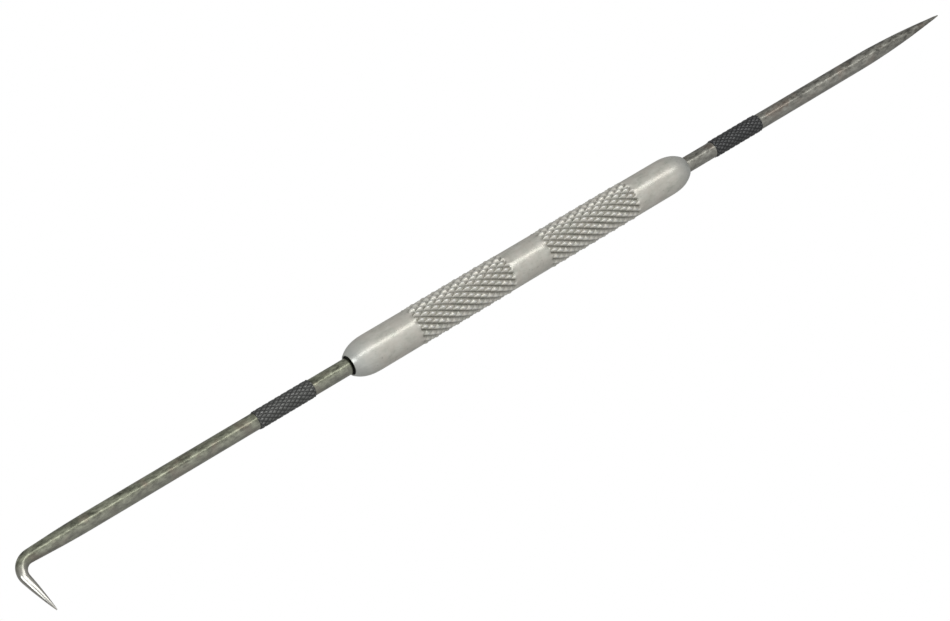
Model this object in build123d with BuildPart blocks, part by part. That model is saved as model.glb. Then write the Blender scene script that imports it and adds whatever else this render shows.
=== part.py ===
from build123d import *
from math import asin, cos, radians, sin, sqrt
import os

# A double-ended scriber. Millimetres, +X along the tool towards the straight tip, +Z up.
# It lies on its handle, with the tip of the hook on the floor on the -Y side.

overall_length = 246.4

# handle, with each knurled band as a prism through the tips of its pyramids
handle_length = 89.6
handle_radius = 4.0
knurl_radius = 4.16
knurl_sides = 30
knurl_length = 24.5
knurl_from_end = 15.6
nose_length = 5.2
nose_rim_radius = 2.35

# socket in each nose of the handle
mouth_radius = 2.05
mouth_depth = 1.5
mouth_chamfer = 0.1
tapped_radius = 1.55
tapped_depth = 8.0
drill_point_length = 0.93

# both points: the shoulder of the rod is level with the nose when the point is screwed home
rod_radius = 1.75
rod_chamfer = 0.15
shoulder_from_nose = 0.02
shank_radius = 1.5
shank_length = 9.0
shank_chamfer = 0.3
relief_radius = 1.15
relief_length = 2.2

# knurled grips, each set in a shallow groove of its rod
grip_length = 13.4
grip_radius = 1.95
grip_bore_radius = 1.57
grip_chamfer = 0.15
groove_radius = 1.55
groove_end_gap = 0.02
straight_grip_from_nose = 8.4
bent_grip_from_nose = 9.4

# taper of the straight point, as distance from the tip and radius
tip_radius = 0.12
taper = [(0.0, tip_radius), (3.0, 0.45), (6.4, 0.79), (9.6, 1.06), (12.9, 1.30)]
taper += [(16.1, 1.48), (19.4, 1.62), (22.0, 1.71), (25.0, rod_radius)]
taper_tip_slope = -0.12

# hook of the bent point
# rod_taper is distance from the bend and radius, limb is share of the limb's length and radius
bend_start_radius = 1.36
bend_end_radius = 1.05
rod_taper = [(12.5, rod_radius), (9.5, 1.71), (6.8, 1.64), (3.4, 1.5), (0.0, bend_start_radius)]
limb = [(0.0, bend_end_radius), (0.25, 0.9), (0.5, 0.68), (0.75, 0.43), (1.0, tip_radius)]
rod_taper_end_slope = -0.1
limb_start_slope = -0.05
limb_tip_slope = -0.2
bend_radius = 3.0
bend_angle = 100.0
bend_steps = 8
hook_reach = 11.5

# where the tool lies: a flat of each knurl and the tip of the hook touch the floor at z = 0
axis_z = knurl_radius * cos(radians(180 / knurl_sides))
droop = asin((axis_z - tip_radius) / hook_reach)
bend = radians(bend_angle)
tip_edge = tip_radius * sqrt(1 - (cos(droop) * sin(bend)) ** 2)
axis_y = (hook_reach * cos(droop) + tip_edge - knurl_radius) / 2
half_handle = handle_length / 2
tool_axis = Axis((0, axis_y, axis_z), (1, 0, 0))


def half_section(side):
    """The plane for a lathe profile: local x runs outwards towards that end, local y is the radius."""
    return Plane(origin=(0, axis_y, axis_z), x_dir=(side, 0, 0), z_dir=(0, -side, 0))


# 1. handle
knurl_end = half_handle - knurl_from_end
nose_start = half_handle - nose_length
nose_drop = handle_radius - nose_rim_radius
nose_arc_radius = (nose_length**2 + nose_drop**2) / (2 * nose_drop)
half_nose = nose_length / 2
nose_middle_radius = handle_radius - nose_arc_radius + (nose_arc_radius**2 - half_nose**2) ** 0.5

with BuildPart() as handle:
    for side in (1, -1):
        with BuildSketch(half_section(side)):
            with BuildLine():
                Polyline(
                    (0, 0),
                    (0, handle_radius),
                    (nose_start, handle_radius),
                )
                ThreePointArc(
                    (nose_start, handle_radius),
                    (nose_start + half_nose, nose_middle_radius),
                    (half_handle, nose_rim_radius),
                )
                Polyline(
                    (half_handle, nose_rim_radius),
                    (half_handle, mouth_radius + mouth_chamfer),
                    (half_handle - mouth_chamfer, mouth_radius),
                    (half_handle - mouth_depth, mouth_radius),
                    (half_handle - mouth_depth, tapped_radius),
                    (half_handle - mouth_depth - tapped_depth, tapped_radius),
                    (half_handle - mouth_depth - tapped_depth - drill_point_length, 0),
                    (0, 0),
                )
            make_face()
        revolve(axis=tool_axis)
        band_plane = Plane(origin=(side * knurl_end, axis_y, axis_z), x_dir=(0, 1, 0), z_dir=(-side, 0, 0))
        with BuildSketch(band_plane):
            RegularPolygon(knurl_radius, knurl_sides)
        extrude(amount=knurl_length)

# shared by both points: the threaded shank, its relief groove, the shoulder and the rod's chamfer
shoulder = half_handle + shoulder_from_nose
shank_end = shoulder - shank_length


def shank_outline(grip_from_nose):
    """Lathe outline from the end of the shank to the far end of the grip's groove."""
    groove_start = half_handle + grip_from_nose - groove_end_gap
    groove_end = groove_start + grip_length + 2 * groove_end_gap
    return [
        (shank_end, 0),
        (shank_end, shank_radius - shank_chamfer),
        (shank_end + shank_chamfer, shank_radius),
        (shoulder - relief_length, shank_radius),
        (shoulder - relief_length, relief_radius),
        (shoulder, relief_radius),
        (shoulder, rod_radius - rod_chamfer),
        (shoulder + rod_chamfer, rod_radius),
        (groove_start, rod_radius),
        (groove_start, groove_radius),
        (groove_end, groove_radius),
        (groove_end, rod_radius),
    ]


# 2. straight point
straight_tip = overall_length / 2
taper_line = [(straight_tip - distance, radius) for distance, radius in reversed(taper)]
straight_outline = shank_outline(straight_grip_from_nose)

with BuildPart() as straight_point:
    with BuildSketch(half_section(1)):
        with BuildLine():
            Polyline(*straight_outline, taper_line[0])
            Spline(*taper_line, tangents=[(1, 0), (1, taper_tip_slope)])
            Polyline(taper_line[-1], (straight_tip, 0), (shank_end, 0))
        make_face()
    revolve(axis=tool_axis)

# 3. bent point: a turned rod with a tapered end, a lofted bend and a turned limb
radius_at_right_angle = bend_start_radius + 90.0 / bend_angle * (bend_end_radius - bend_start_radius)
bend_centre = overall_length / 2 - bend_radius - radius_at_right_angle
rod_taper_line = [(bend_centre - distance, radius) for distance, radius in rod_taper]
bent_outline = shank_outline(bent_grip_from_nose)
limb_length = (hook_reach - bend_radius * (1 - cos(bend))) / sin(bend)
limb_line = [(share * limb_length, radius) for share, radius in limb]
down = Vector(0, -cos(droop), -sin(droop))
along = Vector(-1, 0, 0)
across = along.cross(down)
bend_origin = Vector(-bend_centre, axis_y, axis_z)


def bend_plane(turned):
    """The cross-section plane of the bend after turning by an angle."""
    heading = along * cos(turned) + down * sin(turned)
    place = along * (bend_radius * sin(turned)) + down * (bend_radius * (1 - cos(turned)))
    return Plane(origin=bend_origin + place, x_dir=across, z_dir=heading)


limb_root = bend_plane(bend)
limb_section = Plane(origin=limb_root.origin, x_dir=limb_root.z_dir, z_dir=across)

with BuildPart() as bent_point:
    with BuildSketch(half_section(-1)):
        with BuildLine():
            Polyline(*bent_outline, rod_taper_line[0])
            Spline(*rod_taper_line, tangents=[(1, 0), (1, rod_taper_end_slope)])
            Polyline(rod_taper_line[-1], (bend_centre, 0), (shank_end, 0))
        make_face()
    revolve(axis=tool_axis)
    for step in range(bend_steps + 1):
        share = step / bend_steps
        with BuildSketch(bend_plane(share * bend)):
            Circle(bend_start_radius + share * (bend_end_radius - bend_start_radius))
    loft()
    with BuildSketch(limb_section):
        with BuildLine():
            Spline(*limb_line, tangents=[(1, limb_start_slope), (1, limb_tip_slope)])
            Polyline(limb_line[-1], (limb_length, 0), (0, 0), limb_line[0])
        make_face()
    revolve(axis=Axis(limb_root.origin, limb_root.z_dir))


def build_grip(side, grip_from_nose):
    """A sleeve with chamfered ends, as a lathe profile turned about the tool's axis."""
    start = half_handle + grip_from_nose
    end = start + grip_length
    with BuildPart() as grip:
        with BuildSketch(half_section(side)):
            with BuildLine():
                Polyline(
                    (start, grip_bore_radius),
                    (start, grip_radius - grip_chamfer),
                    (start + grip_chamfer, grip_radius),
                    (end - grip_chamfer, grip_radius),
                    (end, grip_radius - grip_chamfer),
                    (end, grip_bore_radius),
                    (start, grip_bore_radius),
                )
            make_face()
        revolve(axis=tool_axis)
    return grip


# 4 and 5. knurled grips
straight_grip = build_grip(1, straight_grip_from_nose)
bent_grip = build_grip(-1, bent_grip_from_nose)

os.makedirs("parts", exist_ok=True)
pieces = {
    "handle": handle,
    "straight_point": straight_point,
    "straight_grip": straight_grip,
    "bent_point": bent_point,
    "bent_grip": bent_grip,
}
for name, piece in pieces.items():
    piece.part.label = name
    export_step(piece.part, f"parts/{name}.step")
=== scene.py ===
import math

import bmesh
import bpy
import numpy as np
from mathutils import Matrix, Vector


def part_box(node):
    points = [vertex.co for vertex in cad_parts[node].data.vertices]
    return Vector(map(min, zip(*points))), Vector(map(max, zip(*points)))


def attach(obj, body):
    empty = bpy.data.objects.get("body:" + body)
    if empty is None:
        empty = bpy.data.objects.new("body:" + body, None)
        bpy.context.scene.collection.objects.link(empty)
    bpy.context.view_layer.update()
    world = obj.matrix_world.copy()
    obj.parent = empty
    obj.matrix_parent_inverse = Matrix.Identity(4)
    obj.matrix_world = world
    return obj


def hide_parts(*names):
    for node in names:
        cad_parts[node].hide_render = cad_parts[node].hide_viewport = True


# A double-ended scriber on a white table: a turned, knurled handle and two screwed-in steel points.
# Metres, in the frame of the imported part. Lengths below are written in millimetres times MM.

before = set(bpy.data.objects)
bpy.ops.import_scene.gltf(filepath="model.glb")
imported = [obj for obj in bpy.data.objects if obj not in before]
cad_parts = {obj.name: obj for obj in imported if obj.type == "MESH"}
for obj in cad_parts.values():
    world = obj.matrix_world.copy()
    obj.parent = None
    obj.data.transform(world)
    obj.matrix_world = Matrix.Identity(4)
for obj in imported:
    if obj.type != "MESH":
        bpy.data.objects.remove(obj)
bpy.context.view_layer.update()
MM = 0.001

# where the tool lies, from the CAD pieces
handle_low, handle_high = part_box("handle")
AXIS_Y = (handle_low.y + handle_high.y) / 2
AXIS_Z = (handle_low.z + handle_high.z) / 2
HALF_HANDLE = (handle_high.x - handle_low.x) / 2
CREST = (handle_high.z - handle_low.z) / 2
GRIP_CREST = (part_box("bent_grip")[1].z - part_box("bent_grip")[0].z) / 2
STRAIGHT_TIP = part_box("straight_point")[1].x
HOOK_END = -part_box("bent_point")[0].x

# handle
HANDLE_RADIUS = 4.0 * MM
NOSE_LENGTH = 6.4 * MM
NOSE_POWER = 3
NOSE_STEPS = 32
NOSE_RIM = 2.35 * MM
MOUTH_RADIUS = 2.05 * MM
MOUTH_DEPTH = 1.5 * MM
TAPPED_RADIUS = 1.55 * MM
TAPPED_DEPTH = 8.0 * MM
DRILL_POINT = 0.93 * MM
THREAD_PITCH = 0.5 * MM
THREAD_ROOT = 1.72 * MM
KNURL_LENGTH = 24.5 * MM
KNURL_FROM_END = 15.6 * MM
KNURL_ROUND = 15
KNURL_ALONG = 9
KNURL_DEPTH = 0.58 * MM
KNURL_EDGE = 0.32 * MM
KNURL_FULL = 0.85
HANDLE_CELL = 8
LIGHT_CUT = 0.82

# points
ROD = 1.75 * MM
SHOULDER = 0.02 * MM
SHOULDER_CHAMFER = 0.15 * MM
SHANK = 1.5 * MM
SHANK_ROOT = 1.2 * MM
SHANK_LENGTH = 9.0 * MM
RELIEF = 1.15 * MM
RELIEF_LENGTH = 2.2 * MM
GROOVE = 1.55 * MM
GROOVE_GAP = 0.02 * MM
TIP = 0.12 * MM
APEX = 0.01 * MM
CENTRE = 0.02 * MM
ROD_SIDES = 72

# grips
GRIP_BORE = 1.57 * MM
GRIP_ROUND = 13
GRIP_ALONG = 9
GRIP_DEPTH = 0.14 * MM
GRIP_EDGE = 0.12 * MM
GRIP_INSET = 0.02 * MM
GRIP_FULL = 0.7
GRIP_CELL = 6
EVEN_CUT = 1.0

# taper of the straight point: distance from the tip and radius
TAPER = [(0.0, 0.12), (1.4, 0.31), (3.0, 0.46), (6.4, 0.79), (9.6, 1.06), (12.9, 1.30)]
TAPER += [(16.1, 1.48), (19.4, 1.62), (22.0, 1.71), (25.0, 1.75)]

# taper of the bent rod: distance from the bend and radius; then the bend and the limb
ROD_TAPER = [(12.5, 1.75), (9.5, 1.71), (6.8, 1.64), (3.4, 1.5), (0.0, 1.36)]
BEND_RADIUS = 3.0 * MM
BEND_ANGLE = math.radians(100)
BEND_START = 1.36 * MM
BEND_END = 1.05 * MM
HOOK_REACH = 11.5 * MM
LIMB = [(0.0, 1.05), (0.25, 0.9), (0.5, 0.68), (0.75, 0.43), (1.0, 0.12)]


# ---------------------------------------------------------------- meshes


def smooth_curve(points, count):
    """Monotone cubic through (x, y) points, sampled evenly, so that a taper has no flats or waves."""
    xs, ys = np.array(points, float).T
    if xs[0] > xs[-1]:
        xs, ys = xs[::-1], ys[::-1]
    slope = np.diff(ys) / np.diff(xs)
    tangent = np.zeros(len(xs))
    for i in range(1, len(xs) - 1):
        before, after = slope[i - 1], slope[i]
        if before * after > 0:
            tangent[i] = 2 * before * after / (before + after)
    tangent[0], tangent[-1] = slope[0], slope[-1]
    at = np.linspace(xs[0], xs[-1], count)
    seg = np.clip(np.searchsorted(xs, at, side="right") - 1, 0, len(xs) - 2)
    width = xs[seg + 1] - xs[seg]
    t = (at - xs[seg]) / width
    value = (
        (2 * t**3 - 3 * t**2 + 1) * ys[seg]
        + (t**3 - 2 * t**2 + t) * width * tangent[seg]
        + (3 * t**2 - 2 * t**3) * ys[seg + 1]
        + (t**3 - t**2) * width * tangent[seg + 1]
    )
    return list(zip(at, value))


def ring(x, radius, sides, shifted=False):
    """One ring of points round the tool's axis. radius is a number or one value for each point."""
    turn = 2 * math.pi * (np.arange(sides) + (0.5 if shifted else 0.0)) / sides
    radii = np.broadcast_to(radius, (sides,))
    points = np.empty((sides, 3))
    points[:, 0] = x
    points[:, 1] = AXIS_Y + radii * np.cos(turn)
    points[:, 2] = AXIS_Z + radii * np.sin(turn)
    return points, shifted


def loop_ring(centre, across, side, radius, sides):
    """One ring of points round any centre, in the plane of across and side."""
    turn = 2 * math.pi * np.arange(sides) / sides
    points = (
        np.array(centre)
        + radius * np.outer(np.cos(turn), across)
        + radius * np.outer(np.sin(turn), side)
    )
    return points, False


def stitch(name, rings, closed=False):
    """A mesh object through rings of equal size. A ring shifted by half a step meets its neighbour in
    triangles. A closed chain joins its last ring to its first; an open one is capped at both ends."""
    sides = len(rings[0][0])
    vertices = np.vstack([points for points, shifted in rings])
    faces = []
    pairs = list(zip(range(len(rings) - 1), range(1, len(rings))))
    if closed:
        pairs.append((len(rings) - 1, 0))
    for a, b in pairs:
        low, high = a * sides, b * sides
        lift = rings[b][1] - rings[a][1]
        for i in range(sides):
            j = (i + 1) % sides
            if lift == 0:
                faces.append((low + i, low + j, high + j, high + i))
            elif lift == 1:
                faces.append((low + i, low + j, high + i))
                faces.append((low + j, high + j, high + i))
            else:
                faces.append((low + i, high + j, high + i))
                faces.append((low + i, low + j, high + j))
    if not closed:
        faces.append(tuple(range(sides))[::-1])
        last = (len(rings) - 1) * sides
        faces.append(tuple(range(last, last + sides)))
    mesh = bpy.data.meshes.new(name)
    mesh.from_pydata(vertices.tolist(), [], faces)
    mesh.validate()
    mesh.update()
    mesh.shade_smooth()
    piece = bpy.data.objects.new(name, mesh)
    bpy.context.scene.collection.objects.link(piece)
    fix_normals(piece)
    return piece


def fix_normals(piece):
    """Turns the faces outwards: a closed solid with inward faces has a negative volume."""
    work = bmesh.new()
    work.from_mesh(piece.data)
    if work.calc_volume(signed=True) < 0:
        bmesh.ops.reverse_faces(work, faces=work.faces)
    work.to_mesh(piece.data)
    work.free()


def crisp(piece, degrees=35):
    """Keeps edges sharper than an angle crisp under smooth shading."""
    piece.data.set_sharp_from_angle(angle=math.radians(degrees))


def diamond_band(start, end, base, crest, depth, around, along, cell, edge, light_cut, full):
    """Rings of a diamond knurl: pyramids between two families of V grooves that cross, one of them cut
    to light_cut of the depth, with tips flattened above the share full of their height. The rings are
    shifted by half a step in turn, so that every groove and every ridge runs along mesh edges."""
    sides = around * cell
    rows = 2 * cell * along
    rings = []
    for row in range(rows + 1):
        x = start + (end - start) * row / rows
        shifted = row % 2 == 1
        turn = (np.arange(sides) + (0.5 if shifted else 0.0)) / sides
        along_now = row / (2 * cell)
        one = around * turn + along_now
        other = around * turn - along_now
        shallow = 1 - light_cut + 2 * np.abs(one - np.round(one))
        deep = 2 * np.abs(other - np.round(other))
        height = np.minimum(np.minimum(shallow, deep) / full, 1.0)
        radii = crest - depth * (1 - height)
        fade = min(abs(x - start), abs(end - x)) / edge
        radii = base + (radii - base) * min(fade, 1.0)
        rings.append(ring(x, radii, sides, shifted))
    return rings


def threaded(start, end, root, crest, sides, steps):
    """Rings of a screw thread with a V form, running out smoothly at both ends."""
    count = int(abs(end - start) / THREAD_PITCH * steps)
    turn = np.arange(sides) / sides
    rings = []
    for i in range(count + 1):
        x = start + (end - start) * i / count
        phase = (x / THREAD_PITCH - turn) % 1.0
        height = np.clip(1.25 * (1 - np.abs(2 * phase - 1)) - 0.1, 0, 1)
        runout = min(1.0, min(abs(x - start), abs(end - x)) / (0.8 * THREAD_PITCH))
        rings.append(ring(x, root + (crest - root) * height * runout, sides))
    return rings


def lathe(profile, sides):
    return [ring(x, radius, sides) for x, radius in profile]


def between(a, b, count):
    """Points after a and up to b along a straight run, as (x, radius)."""
    return [
        (a[0] + (b[0] - a[0]) * i / count, a[1] + (b[1] - a[1]) * i / count)
        for i in range(1, count + 1)
    ]


# ---------------------------------------------------------------- the five pieces


def socket_rings(side, sides):
    """From the bottom of the threaded hole out to the lip of the nose, at one end of the handle."""
    nose = side * HALF_HANDLE
    mouth = nose - side * MOUTH_DEPTH
    bottom = mouth - side * TAPPED_DEPTH
    rings = lathe([(bottom - side * DRILL_POINT, CENTRE), (bottom, TAPPED_RADIUS)], sides)
    thread_start, thread_end = bottom + side * 0.3 * MM, mouth - side * 0.1 * MM
    rings += threaded(thread_start, thread_end, TAPPED_RADIUS, THREAD_ROOT, sides, 5)
    rings += lathe(
        [
            (mouth, TAPPED_RADIUS),
            (mouth, MOUTH_RADIUS - 0.05 * MM),
            (mouth + side * 0.05 * MM, MOUTH_RADIUS),
            (nose - side * 0.12 * MM, MOUTH_RADIUS),
            (nose - side * 0.03 * MM, MOUTH_RADIUS + 0.05 * MM),
            (nose, MOUTH_RADIUS + 0.12 * MM),
        ],
        sides,
    )
    return rings


def nose_profile(side):
    """The rounded nose from its rim back to the full radius."""
    profile = []
    for i in range(NOSE_STEPS + 1):
        share = i / NOSE_STEPS
        radius = HANDLE_RADIUS - (HANDLE_RADIUS - NOSE_RIM) * (1 - share) ** NOSE_POWER
        profile.append((side * (HALF_HANDLE - share * NOSE_LENGTH), radius))
    return profile


def make_handle():
    sides = KNURL_ROUND * HANDLE_CELL
    knurl_out = HALF_HANDLE - KNURL_FROM_END
    knurl_in = knurl_out - KNURL_LENGTH
    left = nose_profile(-1)
    rings = socket_rings(-1, sides)
    rings += lathe([(-HALF_HANDLE, NOSE_RIM - 0.08 * MM)] + left, sides)
    rings += lathe(between(left[-1], (-knurl_out, HANDLE_RADIUS), 12)[:-1], sides)
    bands = (-knurl_out, -knurl_in), (knurl_in, knurl_out)
    for number, (start, end) in enumerate(bands):
        rings += diamond_band(
            start, end, HANDLE_RADIUS, CREST, KNURL_DEPTH,
            KNURL_ROUND, KNURL_ALONG, HANDLE_CELL, KNURL_EDGE, LIGHT_CUT, KNURL_FULL,
        )
        if number == 0:
            rings += lathe(between((end, HANDLE_RADIUS), (knurl_in, HANDLE_RADIUS), 10)[:-1], sides)
    right = nose_profile(1)[::-1]
    rings += lathe(between((knurl_out, HANDLE_RADIUS), right[0], 12), sides)
    rings += lathe(right[1:] + [(HALF_HANDLE, NOSE_RIM - 0.08 * MM)], sides)
    rings += socket_rings(1, sides)[::-1]
    piece = stitch("handle_knurled", rings)
    crisp(piece, 50)
    return piece


def shank_rings(side, grip):
    """The threaded shank, relief, shoulder and rod as far as the groove's end, towards one side."""
    nose = side * HALF_HANDLE
    shoulder = nose + side * SHOULDER
    end = shoulder - side * SHANK_LENGTH
    relief = shoulder - side * RELIEF_LENGTH
    groove_in, groove_out = grip
    near, far = groove_in - side * GROOVE_GAP, groove_out + side * GROOVE_GAP
    tail = [(end, CENTRE), (end, SHANK_ROOT - 0.1 * MM), (end + side * 0.12 * MM, SHANK_ROOT)]
    rings = lathe(tail, ROD_SIDES)
    thread_start, thread_end = end + side * 0.15 * MM, relief - side * 0.05 * MM
    rings += threaded(thread_start, thread_end, SHANK_ROOT, SHANK, ROD_SIDES, 10)
    rings += lathe(
        [
            (relief, SHANK_ROOT),
            (relief + side * 0.1 * MM, RELIEF),
            (shoulder - side * 0.02 * MM, RELIEF),
            (shoulder, RELIEF + 0.02 * MM),
            (shoulder, ROD - SHOULDER_CHAMFER),
            (shoulder + side * 0.5 * SHOULDER_CHAMFER, ROD - 0.35 * SHOULDER_CHAMFER),
            (shoulder + side * SHOULDER_CHAMFER, ROD),
        ],
        ROD_SIDES,
    )
    rings += lathe(between((shoulder + side * SHOULDER_CHAMFER, ROD), (near, ROD), 8), ROD_SIDES)
    rings += lathe([(near, GROOVE), (far, GROOVE), (far, ROD)], ROD_SIDES)
    return rings


def grip_span(node, side):
    """(inner end, outer end) of a grip, outwards from the handle."""
    low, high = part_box(node)
    return (low.x, high.x) if side > 0 else (high.x, low.x)


def make_straight_point():
    grip = grip_span("straight_grip", 1)
    rings = shank_rings(1, grip)
    taper = smooth_curve([(STRAIGHT_TIP / MM - d, r) for d, r in TAPER], 90)
    start = (taper[0][0] * MM, ROD)
    rings += lathe(between((grip[1] + GROOVE_GAP, ROD), start, 24), ROD_SIDES)
    rings += lathe([(x * MM, r * MM) for x, r in taper[1:]], ROD_SIDES)
    rings += lathe([(STRAIGHT_TIP, TIP * 0.6), (STRAIGHT_TIP, APEX)], ROD_SIDES)
    piece = stitch("straight_scribing_point", rings)
    crisp(piece)
    return piece


def make_bent_point():
    grip = grip_span("bent_grip", -1)
    rings = shank_rings(-1, grip)
    widest = BEND_START + math.radians(90) / BEND_ANGLE * (BEND_END - BEND_START)
    bend_at = HOOK_END - BEND_RADIUS - widest
    taper = smooth_curve([(bend_at / MM - d, r) for d, r in ROD_TAPER], 30)
    start = (-taper[0][0] * MM, ROD)
    rings += lathe(between((grip[1] - GROOVE_GAP, ROD), start, 30), ROD_SIDES)
    rings += lathe([(-x * MM, r * MM) for x, r in taper[1:]], ROD_SIDES)
    droop = math.asin((CREST - TIP) / HOOK_REACH)
    along = np.array((-1.0, 0.0, 0.0))
    down = np.array((0.0, -math.cos(droop), -math.sin(droop)))
    across = np.cross(along, down)
    corner = np.array((-bend_at, AXIS_Y, AXIS_Z))

    def bent_ring(turned, further, radius):
        """A ring of the hook after turning by an angle and going further along the new heading. Its
        points are numbered like the rod's, from +Y towards +Z before the bend."""
        heading = along * math.cos(turned) + down * math.sin(turned)
        inward = down * math.cos(turned) - along * math.sin(turned)
        place = along * BEND_RADIUS * math.sin(turned) + down * BEND_RADIUS * (1 - math.cos(turned))
        side = -math.cos(droop) * inward - math.sin(droop) * across
        rise = -math.sin(droop) * inward + math.cos(droop) * across
        return loop_ring(corner + place + heading * further, side, rise, radius, ROD_SIDES)

    steps = 28
    for i in range(1, steps + 1):
        share = i / steps
        rings.append(bent_ring(share * BEND_ANGLE, 0.0, BEND_START + share * (BEND_END - BEND_START)))
    limb_length = (HOOK_REACH - BEND_RADIUS * (1 - math.cos(BEND_ANGLE))) / math.sin(BEND_ANGLE)
    for share, radius in smooth_curve(LIMB, 48)[1:]:
        rings.append(bent_ring(BEND_ANGLE, share * limb_length, radius * MM))
    rings.append(bent_ring(BEND_ANGLE, limb_length, APEX))
    piece = stitch("bent_scribing_point", rings)
    crisp(piece)
    return piece


def make_grip(name, node):
    """A knurled sleeve, closed on itself through its bore."""
    low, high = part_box(node)
    radius = (high.z - low.z) / 2
    sides = GRIP_ROUND * GRIP_CELL
    rings = lathe([(low.x, GRIP_BORE), (low.x, radius - GRIP_DEPTH)], sides)
    rings += diamond_band(
        low.x + GRIP_INSET, high.x - GRIP_INSET, radius - GRIP_DEPTH, radius, GRIP_DEPTH,
        GRIP_ROUND, GRIP_ALONG, GRIP_CELL, GRIP_EDGE, EVEN_CUT, GRIP_FULL,
    )
    rings += lathe([(high.x, radius - GRIP_DEPTH), (high.x, GRIP_BORE)], sides)
    piece = stitch(name, rings, closed=True)
    crisp(piece, 50)
    return piece


# ---------------------------------------------------------------- materials


class Nodes:
    """A short way to write a material's node tree."""

    def __init__(self, name):
        self.material = bpy.data.materials.new(name)
        self.material.use_nodes = True
        self.tree = self.material.node_tree
        self.tree.nodes.clear()
        self.shader = self.add("ShaderNodeBsdfPrincipled")
        output = self.add("ShaderNodeOutputMaterial")
        self.join(self.shader.outputs["BSDF"], output.inputs["Surface"])
        self.place = self.add("ShaderNodeTexCoord").outputs["Object"]

    def add(self, kind, **settings):
        node = self.tree.nodes.new(kind)
        for key, value in settings.items():
            setattr(node, key, value)
        return node

    def join(self, source, target):
        self.tree.links.new(source, target)

    def radius(self):
        """Distance from the tool's axis."""
        node = self.add("ShaderNodeVectorMath", operation="MULTIPLY_ADD")
        node.inputs[1].default_value = (0.0, 1.0, 1.0)
        node.inputs[2].default_value = (0.0, -AXIS_Y, -AXIS_Z)
        self.join(self.place, node.inputs[0])
        length = self.add("ShaderNodeVectorMath", operation="LENGTH")
        self.join(node.outputs["Vector"], length.inputs[0])
        return length.outputs["Value"]

    def split(self, axis):
        """One coordinate of the position in the piece's own frame."""
        node = self.add("ShaderNodeSeparateXYZ")
        self.join(self.place, node.inputs["Vector"])
        return node.outputs[axis]

    def stretched(self, scale):
        """The position in the piece's own frame, scaled by an amount on each axis."""
        node = self.add("ShaderNodeMapping")
        node.inputs["Scale"].default_value = scale
        self.join(self.place, node.inputs["Vector"])
        return node.outputs["Vector"]

    def noise(self, place, scale, detail=4.0, roughness=0.55):
        node = self.add("ShaderNodeTexNoise")
        node.inputs["Scale"].default_value = scale
        node.inputs["Detail"].default_value = detail
        node.inputs["Roughness"].default_value = roughness
        self.join(place, node.inputs["Vector"])
        return node.outputs["Fac"]

    def remap(self, value, low, high, to_low, to_high):
        node = self.add("ShaderNodeMapRange")
        node.inputs["From Min"].default_value = low
        node.inputs["From Max"].default_value = high
        node.inputs["To Min"].default_value = to_low
        node.inputs["To Max"].default_value = to_high
        self.join(value, node.inputs["Value"])
        return node.outputs["Result"]

    def ramp(self, value, stops):
        node = self.add("ShaderNodeValToRGB")
        points = node.color_ramp.elements
        while len(points) < len(stops):
            points.new(0.5)
        for point, (at, colour) in zip(points, stops):
            point.position = at
            point.color = (*colour, 1.0)
        self.join(value, node.inputs["Fac"])
        return node.outputs["Color"]

    def mix(self, factor, first, second, blend="MIX"):
        node = self.add("ShaderNodeMix", data_type="RGBA", blend_type=blend)
        self.join(factor, node.inputs["Factor"])
        self.join(first, node.inputs["A"])
        node.inputs["B"].default_value = (*second, 1.0)
        return node.outputs["Result"]

    def math(self, operation, first, second):
        node = self.add("ShaderNodeMath", operation=operation)
        for socket, value in zip(node.inputs, (first, second)):
            if isinstance(value, (int, float)):
                socket.default_value = value
            else:
                self.join(value, socket)
        return node.outputs["Value"]

    def bump(self, height, strength, distance, under=None):
        node = self.add("ShaderNodeBump")
        node.inputs["Strength"].default_value = strength
        node.inputs["Distance"].default_value = distance
        self.join(height, node.inputs["Height"])
        if under is not None:
            self.join(under, node.inputs["Normal"])
        return node.outputs["Normal"]

    def finish(self, colour, roughness, normal, metallic):
        self.shader.inputs["Metallic"].default_value = metallic
        self.join(colour, self.shader.inputs["Base Color"])
        self.join(roughness, self.shader.inputs["Roughness"])
        self.join(normal, self.shader.inputs["Normal"])
        return self.material


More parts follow.
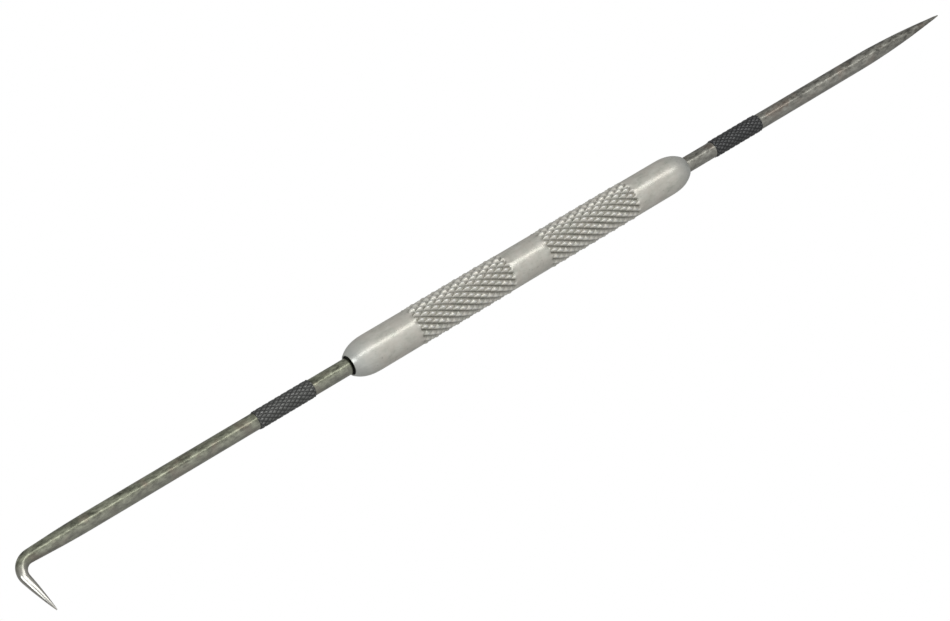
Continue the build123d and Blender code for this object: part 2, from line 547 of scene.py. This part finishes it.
def satin_aluminium():
    """Turned and tumbled aluminium: fine rings round the axis, cloudy patches and dark specks, knurls
    with painted shade in the grooves and bright worn tips, a painted cool reflection on the noses and
    painted shade in the holes."""
    n = Nodes("satin_aluminium")
    rings = n.noise(n.stretched((9000.0, 60.0, 60.0)), 1.0, 3.0, 0.6)
    cloud = n.noise(n.stretched((420.0, 800.0, 800.0)), 1.0, 5.0, 0.65)
    hue = n.noise(n.place, 480.0, 3.0, 0.5)
    grain = n.noise(n.place, 4200.0, 3.0, 0.6)
    shades = [(0.32, (0.60, 0.61, 0.53)), (0.5, (0.77, 0.76, 0.67)), (0.68, (0.90, 0.88, 0.80))]
    colour = n.ramp(cloud, shades)
    colour = n.mix(n.remap(hue, 0.4, 0.6, 0.0, 0.55), colour, (0.80, 0.745, 0.66))
    colour = n.mix(n.remap(rings, 0.3, 0.7, 0.0, 0.25), colour, (0.88, 0.88, 0.84))
    speck = n.remap(n.noise(n.place, 1100.0, 5.0, 0.7), 0.62, 0.70, 0.0, 0.55)
    colour = n.mix(speck, colour, (0.34, 0.34, 0.31))
    radius = n.radius()
    # Painted shade: the knurl grooves are darkened by their depth, where shade falls between the
    # pyramids.
    groove_shade = n.remap(radius, CREST - KNURL_DEPTH, CREST - 0.35 * KNURL_DEPTH, 0.7, 0.0)
    knurl_end = HALF_HANDLE - KNURL_FROM_END
    from_middle = n.math("ABSOLUTE", n.split("X"), 0.0)
    in_band = n.remap(from_middle, knurl_end, knurl_end + 0.2 * MM, 1.0, 0.0)
    colour = n.mix(n.math("MULTIPLY", groove_shade, in_band), colour, (0.17, 0.17, 0.155))
    # Painted reflection: the noses are tinted a cooler, dimmer grey, standing in for the cool room they
    # mirror.
    nose_start, nose_end = HALF_HANDLE - 0.9 * NOSE_LENGTH, HALF_HANDLE - 0.1 * NOSE_LENGTH
    nose_reflection_tint = n.remap(from_middle, nose_start, nose_end, 0.0, 0.6)
    colour = n.mix(nose_reflection_tint, colour, (0.61, 0.64, 0.62))
    # Painted shade: the inside of the holes is coloured nearly black.
    hole_shade = n.remap(radius, MOUTH_RADIUS, MOUTH_RADIUS + 0.15 * MM, 0.9, 0.0)
    colour = n.mix(hole_shade, colour, (0.10, 0.10, 0.10))
    worn = n.remap(radius, CREST - 0.2 * KNURL_DEPTH, CREST, 0.0, 0.85)
    colour = n.mix(worn, colour, (0.97, 0.97, 0.95))
    roughness = n.remap(n.math("ADD", rings, cloud), 0.6, 1.4, 0.25, 0.41)
    roughness = n.math("SUBTRACT", roughness, n.math("MULTIPLY", worn, 0.12))
    normal = n.bump(rings, 0.25, 0.00002)
    normal = n.bump(cloud, 0.15, 0.00006, normal)
    normal = n.bump(grain, 0.35, 0.00002, normal)
    return n.finish(colour, roughness, normal, 0.8)


def ground_steel():
    """Ground steel with a mottled bloom, more olive towards the bent end. The hook is polished."""
    n = Nodes("ground_steel")
    rings = n.noise(n.stretched((6000.0, 50.0, 50.0)), 1.0, 3.0, 0.6)
    bloom = n.noise(n.stretched((520.0, 1100.0, 1100.0)), 1.0, 6.0, 0.7)
    hue = n.noise(n.place, 260.0, 3.0, 0.5)
    shades = [(0.36, (0.13, 0.128, 0.113)), (0.5, (0.31, 0.305, 0.268)), (0.64, (0.52, 0.515, 0.455))]
    colour = n.ramp(bloom, shades)
    olive = n.remap(n.split("X"), 0.05, -0.05, 0.0, 1.0)
    colour = n.mix(olive, colour, (0.95, 1.0, 0.86), "MULTIPLY")
    brown = n.remap(hue, 0.52, 0.66, 0.0, 0.4)
    colour = n.mix(brown, colour, (0.33, 0.25, 0.20))
    hook = n.remap(n.split("Y"), AXIS_Y - 0.0008, AXIS_Y - 0.0032, 0.0, 1.0)
    colour = n.mix(hook, colour, (0.60, 0.59, 0.54))
    roughness = n.remap(n.math("ADD", rings, bloom), 0.6, 1.4, 0.20, 0.34)
    roughness = n.math("MULTIPLY", roughness, n.remap(hook, 0.0, 1.0, 1.0, 0.5))
    normal = n.bump(rings, 0.2, 0.00002)
    normal = n.bump(bloom, 0.2, 0.00005, normal)
    return n.finish(colour, roughness, normal, 1.0)


def black_knurl():
    """Blackened knurled steel with painted shade in the grooves, worn to grey on the tips, more so on
    the bent side."""
    n = Nodes("black_knurl")
    worn = n.noise(n.place, 1500.0, 4.0, 0.6)
    shades = [(0.35, (0.16, 0.165, 0.155)), (0.55, (0.23, 0.235, 0.225)), (0.75, (0.34, 0.34, 0.33))]
    colour = n.ramp(worn, shades)
    # Painted shade: the grip's grooves are darkened by their depth, where shade falls.
    groove_shade = n.remap(n.radius(), GRIP_CREST - GRIP_DEPTH, GRIP_CREST - 0.3 * GRIP_DEPTH, 1.0, 0.0)
    colour = n.mix(groove_shade, colour, (0.07, 0.07, 0.07))
    fresh = n.remap(n.split("X"), -0.02, 0.02, 0.0, 1.0)
    colour = n.mix(fresh, colour, (0.68, 0.68, 0.71), "MULTIPLY")
    roughness = n.remap(worn, 0.3, 0.7, 0.40, 0.26)
    normal = n.bump(n.noise(n.place, 6000.0, 3.0), 0.15, 0.00002)
    return n.finish(colour, roughness, normal, 1.0)


def glowing_white(name):
    """A flat white that gives off its own light and takes none."""
    material = bpy.data.materials.new(name)
    material.use_nodes = True
    shader = material.node_tree.nodes["Principled BSDF"]
    shader.inputs["Base Color"].default_value = (0.0, 0.0, 0.0, 1.0)
    shader.inputs["Roughness"].default_value = 0.9
    shader.inputs["Specular IOR Level"].default_value = 0.0
    shader.inputs["Emission Color"].default_value = (1.0, 1.0, 1.0, 1.0)
    shader.inputs["Emission Strength"].default_value = 1.0
    return material


# ---------------------------------------------------------------- floor, light and camera


def make_floor():
    """A plain white table that glows evenly. It takes and casts no shadow, and the metal neither
    reflects it nor is lit by it."""
    half = 3.0
    mesh = bpy.data.meshes.new("table")
    corners = [(-half, -half, 0), (half, -half, 0), (half, half, 0), (-half, half, 0)]
    mesh.from_pydata(corners, [], [(0, 1, 2, 3)])
    floor = bpy.data.objects.new("table", mesh)
    bpy.context.scene.collection.objects.link(floor)
    mesh.materials.append(glowing_white("white_table"))
    floor.visible_glossy = False
    floor.visible_diffuse = False
    floor.visible_shadow = False


def area_light(name, place, target, width, length, power, colour):
    """A soft box at place, facing target, with its length as near to X as that allows."""
    data = bpy.data.lights.new(name, "AREA")
    data.shape = "RECTANGLE"
    data.size, data.size_y = length, width
    data.energy = power
    data.color = colour
    light = bpy.data.objects.new(name, data)
    back = (Vector(place) - Vector(target)).normalized()
    right = (Vector((1, 0, 0)) - back * back.x).normalized()
    up = back.cross(right)
    light.matrix_world = Matrix.Translation(place) @ Matrix((right, up, back)).transposed().to_4x4()
    bpy.context.scene.collection.objects.link(light)


def level_curve(tree, value, points):
    """A smooth curve from a value between -1 and 1 to a level between 0 and 2."""
    share = tree.nodes.new("ShaderNodeMapRange")
    share.inputs["From Min"].default_value = -1.0
    tree.links.new(value, share.inputs["Value"])
    node = tree.nodes.new("ShaderNodeFloatCurve")
    curve = node.mapping.curves[0]
    ends = points[0], points[-1]
    for point, (at, level) in zip(curve.points, ends):
        point.location = ((at + 1) / 2, level / 2)
    for at, level in points[1:-1]:
        curve.points.new((at + 1) / 2, level / 2)
    node.mapping.update()
    tree.links.new(share.outputs["Result"], node.inputs["Value"])
    double = tree.nodes.new("ShaderNodeMath")
    double.operation = "MULTIPLY"
    double.inputs[1].default_value = 2.0
    tree.links.new(node.outputs["Value"], double.inputs[0])
    return double.outputs["Value"]


def along(tree, direction, axis):
    """How far a direction points along an axis, from -1 to 1."""
    node = tree.nodes.new("ShaderNodeVectorMath")
    node.operation = "DOT_PRODUCT"
    node.inputs[1].default_value = axis
    tree.links.new(direction, node.inputs[0])
    return node.outputs["Value"]


def make_lights():
    """A grey room, brightest from the front and above, a long soft lamp overhead and a cooler one beyond
    the hooked end."""
    world = bpy.data.worlds.new("studio")
    world.use_nodes = True
    tree = world.node_tree
    background = tree.nodes["Background"]
    direction = tree.nodes.new("ShaderNodeTexCoord").outputs["Generated"]
    front_and_above, front_and_below = (0.0, -0.70, 0.714), (0.0, -0.70, -0.714)
    share = tree.nodes.new("ShaderNodeMapRange")
    share.inputs["From Min"].default_value = -1.0
    tree.links.new(along(tree, direction, front_and_above), share.inputs["Value"])
    ramp = tree.nodes.new("ShaderNodeValToRGB")
    stops = [(0.0, 0.30), (0.25, 0.36), (0.5, 0.42), (0.75, 0.50), (1.0, 0.58)]
    while len(ramp.color_ramp.elements) < len(stops):
        ramp.color_ramp.elements.new(0.5)
    for element, (at, level) in zip(ramp.color_ramp.elements, stops):
        element.position = at
        element.color = (level, level, level, 1.0)
    tree.links.new(share.outputs["Result"], ramp.inputs["Fac"])
    tree.links.new(ramp.outputs["Color"], background.inputs["Color"])
    split = tree.nodes.new("ShaderNodeSeparateXYZ")
    tree.links.new(direction, split.inputs["Vector"])
    from_the_ends = [(-1.0, 0.55), (-0.7, 0.95), (-0.3, 1.12), (0.44, 0.97), (1.0, 0.78)]
    strength = level_curve(tree, split.outputs["X"], from_the_ends)
    from_below = [(-1.0, 1.0), (0.4, 1.03), (0.7, 0.94), (0.9, 0.86), (1.0, 0.83)]
    horizon = level_curve(tree, along(tree, direction, front_and_below), from_below)
    both = tree.nodes.new("ShaderNodeMath")
    both.operation = "MULTIPLY"
    tree.links.new(strength, both.inputs[0])
    tree.links.new(horizon, both.inputs[1])
    tree.links.new(both.outputs["Value"], background.inputs["Strength"])
    bpy.context.scene.world = world
    area_light("strip", (0.15, -0.24, 0.87), (0.15, AXIS_Y, AXIS_Z), 0.17, 1.3, 1.22, (1, 1, 1))
    cool = (0.94, 0.97, 1.0)
    area_light("window", (-0.88, -0.16, 0.50), (-0.05, AXIS_Y, AXIS_Z), 0.35, 0.55, 1.6, cool)


def make_camera():
    azimuth, elevation = math.radians(-39.8), math.radians(46.0)
    distance = 0.5131
    target = Vector((-0.01624, AXIS_Y - 0.00436, AXIS_Z + 0.00009))
    back = Vector(
        (
            math.sin(azimuth) * math.cos(elevation),
            -math.cos(azimuth) * math.cos(elevation),
            math.sin(elevation),
        )
    )
    data = bpy.data.cameras.new("camera")
    data.lens = 97.0
    data.sensor_width = 36.0
    data.clip_start, data.clip_end = 0.01, 50.0
    camera = bpy.data.objects.new("camera", data)
    camera.location = target + back * distance
    camera.rotation_mode = "QUATERNION"
    camera.rotation_quaternion = (-back).to_track_quat("-Z", "Y")
    bpy.context.scene.collection.objects.link(camera)
    bpy.context.scene.camera = camera
    bpy.context.scene.view_settings.view_transform = "Standard"


# ---------------------------------------------------------------- assembly

pieces = [
    (make_handle(), "handle", "handle_aluminium", satin_aluminium()),
    (make_straight_point(), "straight_point", "ground_steel", ground_steel()),
    (make_bent_point(), "bent_point", "ground_steel", ground_steel()),
    (
        make_grip("straight_knurled_grip", "straight_grip"), "straight_grip", "blackened_steel",
        black_knurl(),
    ),
    (make_grip("bent_knurled_grip", "bent_grip"), "bent_grip", "blackened_steel", black_knurl()),
]
for piece, node, slot_name, material in pieces:
    piece.data.materials.append(material)
    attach(piece, node + "_body")
    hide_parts(node)

make_floor()
make_lights()
make_camera()
